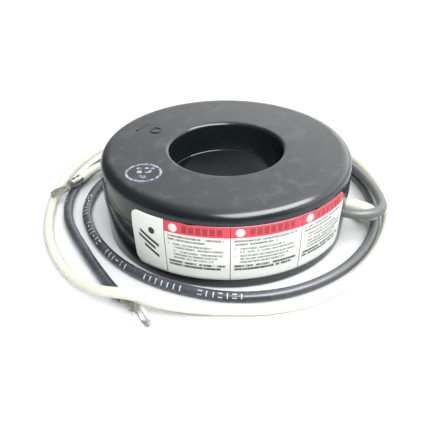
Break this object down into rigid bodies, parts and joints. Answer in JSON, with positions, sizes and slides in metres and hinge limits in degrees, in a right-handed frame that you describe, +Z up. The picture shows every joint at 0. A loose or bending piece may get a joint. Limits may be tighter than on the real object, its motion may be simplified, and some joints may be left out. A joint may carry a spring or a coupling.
{
  "type": "current transformer",
  "caption": "Window type current transformer: round moulded case with a central window, a wrapped blank label and flexible leads with ring terminals lying in loose turns.",
  "frame": {"origin": "centre of the case's base, on the floor", "axes": "+Z up through the window, +X towards the lead holes' side, the label faces -Y"},
  "size_m": [0.1344, 0.1368, 0.0305],
  "materials": {
    "case_plastic": "satin moulded, near black",
    "spacer_board": "pressed board",
    "core_steel": "coiled strip",
    "core_cup_plastic": "natural, matt",
    "winding_wire": "clear enamel over copper",
    "band_paper": "insulating paper",
    "anchor_resin": "cast resin",
    "tinned_copper": "bare tinned, soft shine",
    "black_insulation": "cross-linked insulation, satin",
    "white_insulation": "cross-linked insulation, satin",
    "label_film": "coated film, printed blank"
  },
  "bodies": {
    "root": {"case_cup": "case_plastic", "case_cap": "case_plastic", "lower_spacer": "spacer_board", "upper_spacer": "spacer_board", "core": "core_steel", "core_cup_lower": "core_cup_plastic", "core_cup_upper": "core_cup_plastic", "secondary_winding": "winding_wire", "inner_band": "band_paper", "outer_band": "band_paper", "lead_anchor": "anchor_resin", "black_splice": "tinned_copper", "white_splice": "tinned_copper", "black_lead": "black_insulation", "white_lead": "white_insulation", "black_terminal": "tinned_copper", "white_terminal": "tinned_copper", "label": "label_film"}
  },
  "joints": []
}
